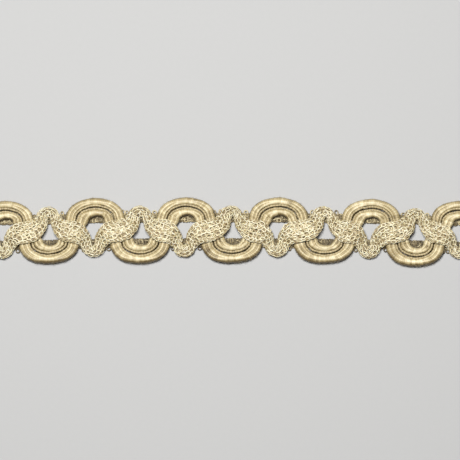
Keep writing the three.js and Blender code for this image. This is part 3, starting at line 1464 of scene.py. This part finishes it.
@dataclass
class KnittedTape:
    """The flattened knitted tape that zigzags on the face of the trim.

    Args:
        layout: Where the repeats lie.
        width: Width at which the tape has its own thickness.
        depth: That thickness.
        bunching: How much thicker it gets where it is drawn narrow.
        low: Height of its underside at the bends.
        high: Height of its underside on the cords.
        skin: How far inside the outline the yarns' middles lie.
        wales: Chains on its face between the folds.
        back_wales: Chains on its back.
        fold_share: Share of the way round that each fold takes.
        fold_place: Where a fold's chain lies in it.
        row_pitch: Length of a row of loops.
        sections: Number of sections in which it is measured.
        face_stitch: The loops of its face.
        fold_stitch: The loops of its folds.
        back_stitch: The loops of its back.
        hem_shade: How much darker the back's outer chains are painted, as painted shade that shows
            through the holes near the edges.
        seed: Start of the random numbers.
        ribs: Half a bend and half a slant of the tape.
    """

    layout: Layout
    width: float = 5.2
    depth: float = 0.85
    bunching: float = 0.6
    low: float = 1.2
    high: float = 3.1
    skin: float = 0.2
    wales: int = 3
    back_wales: int = 4
    fold_share: float = 0.085
    fold_place: float = 0.42
    row_pitch: float = 1.1
    sections: int = 1201
    face_stitch: ChainStitch = ChainStitch(wide=0.165, thick=0.12)
    fold_stitch: ChainStitch = ChainStitch(
        spread=0.44, relief=0.2, wide=0.14, thick=0.12, uneven=0.14, proud=0.1
    )
    back_stitch: ChainStitch = ChainStitch(
        relief=0.12, wide=0.24, thick=0.1, facing=0.5, shade=-0.15, smooth=1
    )
    hem_shade: float = 1.1
    seed: int = 21
    ribs: tuple[RibRow, ...] = (
        RibRow(0, 3.3, 0, 6.12, 0),
        RibRow(0.24, 3.1, 1.3, 5.82, 0),
        RibRow(0.36, 2.6, 2.3, 5.1, 0),
        RibRow(0.44, 1.75, 2.75, 4.2, 0.08),
        RibRow(0.72, 0.7, 3.45, 3.3, 0.46),
        RibRow(1.38, -0.4, 4.37, 2.8, 0.92),
        RibRow(2.4, -1.6, 5.7, 2.58, 1.02),
        RibRow(4.2, -2.4, 6.95, 2.4, 1.0),
    )

    def edge(self, left: bool) -> LaidLine:
        """One edge of the tape, with the height of the tape's underside.

        Args:
            left: Whether it is the edge on the left, seen along the trim.

        Returns:
            The edge as a line.
        """
        points = []
        tip_rise = self.ribs[0].rim_rise
        for row, centre, stretch, direction, bend in self.layout.each_row(self.ribs, Shift.TAPE):
            side = -self.layout.arch_side(bend)
            rim = left == (side > 0)
            along, rise = (row.rim_along, row.rim_rise) if rim else (row.notch_along, row.notch_rise)
            reach = (tip_rise + self.layout.bends[bend].bend_reach) / tip_rise
            lean = 0.0 if rim else self.layout.bends[bend].notch_lean
            x = centre + direction * along * stretch + lean
            z = self.low + row.climb * (self.high - self.low)
            points.append((x, self.layout.midline(x) + side * rise * reach, z))
        return LaidLine(np.array(points))

    def tube(self) -> FlatTube:
        """The tape as a tube.

        Returns:
            The tube, with its rows of loops evenly spaced by the mean of its two edges.
        """
        share = np.linspace(0, 1, FINE_POINTS)
        left, right = self.edge(True).at(share), self.edge(False).at(share)
        run = (run_of(left) + run_of(right)) / 2
        rows = np.linspace(0, int(run[-1] / self.row_pitch), self.sections)
        at = np.interp(rows * run[-1] / rows[-1], run, share)
        left, right = self.edge(True).at(at), self.edge(False).at(at)
        width = np.linalg.norm(right[:, :2] - left[:, :2], axis=1)
        depth = self.depth * (self.width / width) ** self.bunching
        return FlatTube(rows, left, right, left[:, 2], depth, self.skin)

    def build(self) -> list[bpy.types.Object]:
        """Builds and dresses both layers of the tape.

        Returns:
            The objects of its face and its back.
        """
        tube = self.tube()
        face, back = Strands(), Strands()
        rng = np.random.default_rng(self.seed)
        wale = (0.5 - 2 * self.fold_share) / self.wales
        middles = [self.fold_share + wale * (index + 0.5) for index in range(self.wales)]
        self.face_stitch.add(tube, middles, wale, face, rng)
        fold = self.fold_place * self.fold_share
        self.fold_stitch.add(tube, (fold, 0.5 - fold), self.fold_share, face, rng)
        wale = 0.5 / self.back_wales
        middles = [0.5 + wale * (index + 0.5) for index in range(self.back_wales)]
        self.back_stitch.add(tube, middles[1:-1], wale, back, rng)
        # The back's outer chains get painted shade
        hem_stitch = replace(self.back_stitch, shade=self.hem_shade)
        hem_stitch.add(tube, (middles[0], middles[-1]), wale, back, rng)
        made = []
        for strands, name in ((face, "knitted_tape_face"), (back, "knitted_tape_back")):
            piece = strands.mesh_object(name, self.layout)
            dressed(piece, TAPE_RAYON, ["tape_front"])
            made.append(piece)
        return made


@dataclass(frozen=True)
class Weft:
    """The thread that goes to and fro across one layer of a band.

    Args:
        pitch: Distance from one pass to the next.
        wide: Half the width of the thread.
        thick: Half its thickness.
        rise: How far from the middle of the band it lies.
        droop: How that distance falls towards the band's edges.
        tone: How light it is.
        uneven_tone: How much one pass differs from the next.
        sway: How unevenly far it goes across.
        play: How far its points stray along the band.
        lift: How far its points stray in height.
        turns: The turning points of one pass: place across the band, from -1 at one edge to 1 at
            the other, and place along it, in passes.
        smooth: Points for each step between turning points.
        sides: Points round the thread.
    """

    pitch: float = 0.34
    wide: float = 0.17
    thick: float = 0.12
    rise: float = 0.16
    droop: Falloff = Falloff(0.35, 3)
    tone: float = -0.1
    uneven_tone: float = 0.18
    sway: float = 0.03
    play: float = 0.03
    lift: float = 0.015
    turns: tuple[tuple[float, float], ...] = (
        (-0.85, 0.0),
        (-0.3, 0.0),
        (0.3, 0.0),
        (0.85, 0.0),
        (1.0, 0.5),
    )
    smooth: int = 2
    sides: int = 5


@dataclass(frozen=True)
class Selvage:
    """The yarn that makes small upright loops along an edge of a band.

    Args:
        edge: The edge of the band, 1 away from the trim's middle line and -1 towards it.
        shift: How far along the band the loops are moved from an even share of each bend.
        stand_out: How far the loops stand out of the band's body.
        uneven: How unevenly they lie.
        contrast: How much one loop's tone differs from the next.
        per_bend: Number of loops from one bend to the next.
        size: Length of a loop along the band and across it.
        height: Height of its middle over the floor.
        seat: Share of a loop's length across that lies inside the band's edge.
        lift: How far its unevenness lifts it, in millimetres.
        loop: Turning points of a loop: along the band, across it and in height.
        tones: Darkest and lightest a loop is, from its mean.
        speckle: How much the tone changes from point to point.
        sunk: Heights under and over the loop's middle between which the yarn is painted dark, as
            painted shade low in the band.
        sunk_shade_tone: How light the sunk yarn is painted, in painted shade.
        wide: Half the width of the yarn.
        thick: Half its thickness.
        smooth: Points for each step between turning points.
        sides: Points round the yarn.
    """

    edge: int
    shift: float
    stand_out: float
    uneven: float
    contrast: float
    per_bend: int = 7
    size: tuple[float, float] = (0.9, 1.05)
    height: float = 0.66
    seat: float = 0.65
    lift: float = 0.4
    loop: tuple[tuple[float, float, float], ...] = (
        (0.34, -0.6, -0.2),
        (0.1, -0.2, 0.1),
        (0.12, 0.3, 0.12),
        (0.5, 0.5, 0.02),
        (0.88, 0.3, 0.12),
        (0.9, -0.2, 0.14),
        (0.66, -0.6, -0.2),
        (0.9, -0.75, -0.24),
    )
    tones: tuple[float, float] = (-0.9, 0.8)
    speckle: float = 0.3
    sunk: tuple[float, float] = (0.2, 0.1)
    sunk_shade_tone: float = -0.9
    wide: float = 0.15
    thick: float = 0.13
    smooth: int = 3
    sides: int = 6


@dataclass
class BackBand:
    """A straight knitted band that carries the trim at the back.

    Args:
        layout: Where the repeats lie.
        side: Which of the two bands this is.
        width: Width of the band.
        depth: Its thickness.
        offset: How far its middle lies from the trim's middle line.
        skin: How far inside the outline the yarns' middles lie.
        row_pitch: Length of a row of loops.
        stitch: The loops of its chains.
        chains: Place of each chain round the band, in turns.
        wale: Width of a chain, in turns.
        weft: The thread across it.
        outer: The loops of its outer edge.
        inner: The loops of its inner edge, which show in the mouths of the arches.
        outer_tones: How light the outer loops are, on the upper band and on the lower one; the lower
            band's are painted darker as painted shade.
        mouth_tone: How light the inner loops are, painted dark as painted shade in the arches'
            mouths.
        centre_tone: How light the inner loop is that shows in the middle of a mouth, painted as lit
            among the shaded ones.
        lower_shade: How much darker the lower band is painted than the upper one, as painted shade.
        seed: Start of the random numbers.
    """

    layout: Layout
    side: Side
    width: float = 2.75
    depth: float = 0.9
    offset: float = 3.28
    skin: float = 0.17
    row_pitch: float = 1.4
    stitch: ChainStitch = ChainStitch(reach=1.1, relief=0.14, wide=0.15, thick=0.11)
    chains: tuple[float, ...] = (0.25, 0.62, 0.88)
    wale: float = 0.25
    weft: Weft = Weft()
    outer: Selvage = Selvage(edge=1, shift=0.2, stand_out=0.35, uneven=0.2, contrast=1.0)
    inner: Selvage = Selvage(edge=-1, shift=0.0, stand_out=0.0, uneven=0.12, contrast=0.6)
    outer_tones: tuple[float, float] = (0.9, -0.6)
    mouth_tone: float = -0.1
    centre_tone: float = 0.9
    lower_shade: float = 0.55
    seed: int = 51

    def shade(self) -> float:
        """How much darker this band is than the upper one."""
        # Painted shade on the lower band
        return self.lower_shade if self.side is Side.LOWER else 0.0

    def body_edges(self) -> tuple[float, float]:
        """Where the band's body lies without its outer loops: its middle and half its width."""
        stand_out = self.outer.stand_out
        return self.offset - stand_out / 2, (self.width - stand_out) / 2

    def ends(self) -> tuple[float, float]:
        """Where the band starts and ends along the trim."""
        layout = self.layout
        return layout.bend_x(0, Shift.ARCH), layout.bend_x(layout.half_repeats, Shift.ARCH)

    def tube(self) -> FlatTube:
        """The band as a tube.

        Returns:
            The tube, which follows the middle line of the trim.
        """
        start, end = self.ends()
        rows = np.arange(int((end - start) / self.row_pitch) + 1)
        x = np.linspace(start, end, len(rows))
        offset, half = self.body_edges()
        middle = self.layout.midline(x) + self.side.value * offset
        left = np.stack([x, middle + half, 0 * x], axis=-1)
        right = np.stack([x, middle - half, 0 * x], axis=-1)
        return FlatTube(rows, left, right, 0 * x, np.full(len(x), self.depth), self.skin)

    def add_weft(self, layer: Layer, strands: Strands, rng: np.random.Generator) -> None:
        """Adds the thread that goes to and fro across one layer of the band.

        Args:
            layer: The layer of the band.
            strands: What the thread is added to.
            rng: Seeded source of random numbers.
        """
        weft = self.weft
        start, end = self.ends()
        passes = int((end - start) / weft.pitch)
        across, forward = np.array(weft.turns).T
        turn = np.arange(passes)[:, None]
        x = (turn + 0.5 + forward) * weft.pitch
        sway = np.where(turn % 2 == 0, across, -across)
        sway = (sway * (1 + rng.normal(0, weft.sway, (passes, 1)))).reshape(-1)
        x = (x + rng.normal(0, weft.play, x.shape)).reshape(-1) + start
        offset, half = self.body_edges()
        y = self.layout.midline(x) + self.side.value * offset + sway * (half - weft.wide)
        side = 1 if layer is Layer.FACE else -1
        rise = weft.rise * (1 - weft.droop.at(np.abs(sway)))
        z = self.depth / 2 + side * rise + rng.normal(0, weft.lift, x.shape)
        line = smoothed(np.stack([x, y, z], axis=-1), weft.smooth)[None]
        rings = swept(line, np.broadcast_to(UP, line.shape), weft.wide, weft.thick, weft.sides)
        tone = rng.normal(weft.tone - self.shade(), weft.uneven_tone, passes)
        tone = np.repeat(tone, len(across) * weft.smooth)[: line.shape[1]]
        strands.add(rings, run_of(line), tone[None, :, None])

    def add_selvage(
        self,
        selvage: Selvage,
        loop_tone: float,
        centre_tone: float | None,
        strands: Strands,
        rng: np.random.Generator,
    ) -> None:
        """Adds the yarn that makes small upright loops along one edge of the band.

        Args:
            selvage: The loops.
            loop_tone: How light the loops are.
            centre_tone: How light the loop in the middle of an arch's mouth is, if it differs.
            strands: What the yarn is added to.
            rng: Seeded source of random numbers.
        """
        layout = self.layout
        start, _ = self.ends()
        loop_pitch = layout.repeat / 2 / selvage.per_bend
        number = np.arange(1, layout.half_repeats * selvage.per_bend)
        loops = len(number)
        wider, moved, taller, lifted = strays(rng, selvage.uneven, loops, 4)
        points = np.repeat(np.array(selvage.loop)[None], loops, axis=0)
        along, across, height = points.transpose(2, 0, 1)
        length, tall = selvage.size
        x = start + selvage.shift + (number[:, None] + moved) * loop_pitch
        x = x + (along - 0.5) * (length * (1 + wider))
        reach = self.width / 2 - selvage.seat * tall + selvage.stand_out
        out = reach + across * tall * (1 + taller)
        y = layout.midline(x) + self.side.value * (self.offset + selvage.edge * out)
        z = selvage.height + height + selvage.lift * lifted
        line = smoothed(np.stack([x, y, z], axis=-1).reshape(-1, 3), selvage.smooth)[None]
        tone = selvage.contrast * (rng.uniform(*selvage.tones, loops) + loop_tone)
        if centre_tone is not None:
            bend, off_centre = np.divmod(number, selvage.per_bend)
            arched = np.array([layout.arch_side(at) == self.side.value for at in bend])
            tone = np.where(arched & (off_centre == 0), centre_tone, tone)
        wear_and_down_shade = rng.normal(0, selvage.speckle, len(selvage.loop) * loops)
        lit = (np.repeat(tone, len(selvage.loop)) + wear_and_down_shade)[:, None]
        lit = smoothed(lit, selvage.smooth)[:, 0]
        # Painted shade on the low parts of the loops
        under, over = selvage.sunk
        heights = (selvage.height - under, selvage.height + over)
        sunk = np.interp(line[..., 2], heights, (1, 0))
        tone = lit * (1 - sunk) + selvage.sunk_shade_tone * sunk
        up = np.broadcast_to(UP, line.shape)
        rings = swept(line, up, selvage.wide, selvage.thick, selvage.sides)
        strands.add(rings, run_of(line), tone[..., None])

    def build(self) -> bpy.types.Object:
        """Builds and dresses the band.

        Returns:
            The band's object.
        """
        strands = Strands()
        rng = np.random.default_rng(self.seed + self.side.value)
        stitch = replace(self.stitch, shade=self.shade())
        stitch.add(self.tube(), self.chains, self.wale, strands, rng)
        for layer in Layer:
            self.add_weft(layer, strands, rng)
        # The outer and mouth loops get painted shade; the middle mouth loop is painted as lit
        outer_tone = self.outer_tones[self.side is Side.LOWER]
        mouth_tone, centre_tone = self.mouth_tone - self.shade(), self.centre_tone - self.shade()
        self.add_selvage(self.outer, outer_tone, None, strands, rng)
        self.add_selvage(self.inner, mouth_tone, centre_tone, strands, rng)
        name = self.side.name.lower()
        band = strands.mesh_object(f"knitted_band_{name}", self.layout)
        dressed(band, BAND_RAYON, [f"band_{name}"])
        return band


# Studio


@dataclass(frozen=True)
class Softbox:
    """A square soft light that faces the trim.

    Args:
        name: Name of the light.
        place: Where it stands, in metres.
        size: Length of its side.
        power: Power in watts.
        colour: Colour of its light.
    """

    name: str
    place: tuple[float, float, float]
    size: float
    power: float
    colour: Colour

    def build(self) -> bpy.types.Object:
        """Adds the light to the scene.

        Returns:
            The light's object.
        """
        bpy.ops.object.select_all(action="DESELECT")
        aim = (-Vector(self.place)).to_track_quat("-Z", "Y").to_euler()
        bpy.ops.object.light_add(type="AREA", location=self.place, rotation=aim)
        light = bpy.context.object
        light.name = self.name
        light.data.size = self.size
        light.data.energy = self.power
        light.data.color = self.colour
        return light


@dataclass
class Studio:
    """Camera, lights and floor, set up as the trim was seen: straight from above.

    Args:
        aim: Point of the floor in the middle of the view, in metres.
        view_width: Width of the view at the height of the aim.
        aim_height: Height of the point at which the view has that width.
        distance: How far over it the camera stands.
        sensor: Width of the camera's sensor, in its own millimetres.
        sight: Nearest and farthest that the camera sees.
        floor_size: Length of the floor's side.
        softboxes: The lights.
        room_colour: Colour of the room's own light.
        room_light: Strength of that light.
    """

    aim: tuple[float, float] = (-0.00049, 0.00071)
    view_width: float = 0.1118
    aim_height: float = 0.0025
    distance: float = 0.6
    sensor: float = 36.0
    sight: tuple[float, float] = (0.01, 50.0)
    floor_size: float = 12.0
    softboxes: tuple[Softbox, ...] = (
        Softbox("key_light", (-0.05, 0.11, 0.55), 0.12, 4.6, (1.0, 0.985, 0.95)),
        Softbox("fill_light", (0.2, -0.25, 0.5), 0.5, 0.12, (1.0, 0.99, 0.97)),
    )
    room_colour: Colour = (1.0, 0.98, 0.95)
    room_light: float = 0.04

    def camera(self) -> bpy.types.Object:
        """Adds the camera and makes it the scene's.

        Returns:
            The camera's object.
        """
        bpy.ops.object.select_all(action="DESELECT")
        place = (*self.aim, self.aim_height + self.distance)
        bpy.ops.object.camera_add(location=place, rotation=(0, 0, 0))
        camera = bpy.context.object
        camera.name = "camera"
        camera.data.sensor_width = self.sensor
        camera.data.lens = self.sensor * self.distance / self.view_width
        camera.data.clip_start, camera.data.clip_end = self.sight
        bpy.context.scene.camera = camera
        return camera

    def lights(self) -> None:
        """Adds the lights and the room's own soft light."""
        for softbox in self.softboxes:
            softbox.build()
        world = bpy.data.worlds.new("soft_room")
        world.use_nodes = True
        room = world.node_tree.nodes["Background"]
        room.inputs["Color"].default_value = (*self.room_colour, 1.0)
        room.inputs["Strength"].default_value = self.room_light
        bpy.context.scene.world = world

    def floor(self) -> None:
        """Adds the floor on which the bands lie."""
        bpy.ops.object.select_all(action="DESELECT")
        bpy.ops.mesh.primitive_plane_add(size=self.floor_size, location=(0, 0, 0))
        floor = bpy.context.object
        floor.name = "floor"
        floor.data.materials.append(PaleFloorFinish().material())
        floor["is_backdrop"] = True

    def colours(self) -> None:
        """Shows colours as they are, with no film look."""
        bpy.context.scene.view_settings.view_transform = "Standard"
        bpy.context.scene.view_settings.look = "None"


def write_size(frame_box: tuple[Vector, Vector], made_box: tuple[Vector, Vector]) -> None:
    """Gathers the frame's box and the dressed trim's box as lists, then drops them.

    Args:
        frame_box: Lowest and highest corner of the frame.
        made_box: Lowest and highest corner of the dressed trim.
    """
    boxes = {"cad": frame_box, "visual": made_box}
    {name: [list(corner) for corner in box] for name, box in boxes.items()}


def main() -> None:
    """Builds the studio and the trim."""
    logging.basicConfig(level=logging.INFO, format="%(name)s %(message)s")
    frame_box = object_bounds()
    studio = Studio()
    studio.camera()
    studio.lights()
    studio.floor()
    studio.colours()
    layout = Layout()
    for side in Side:
        BackBand(layout, side).build()
    for side in Side:
        GimpCord(layout, side).build()
    KnittedTape(layout).build()
    write_size(frame_box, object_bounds())


if __name__ == "__main__":
    main()
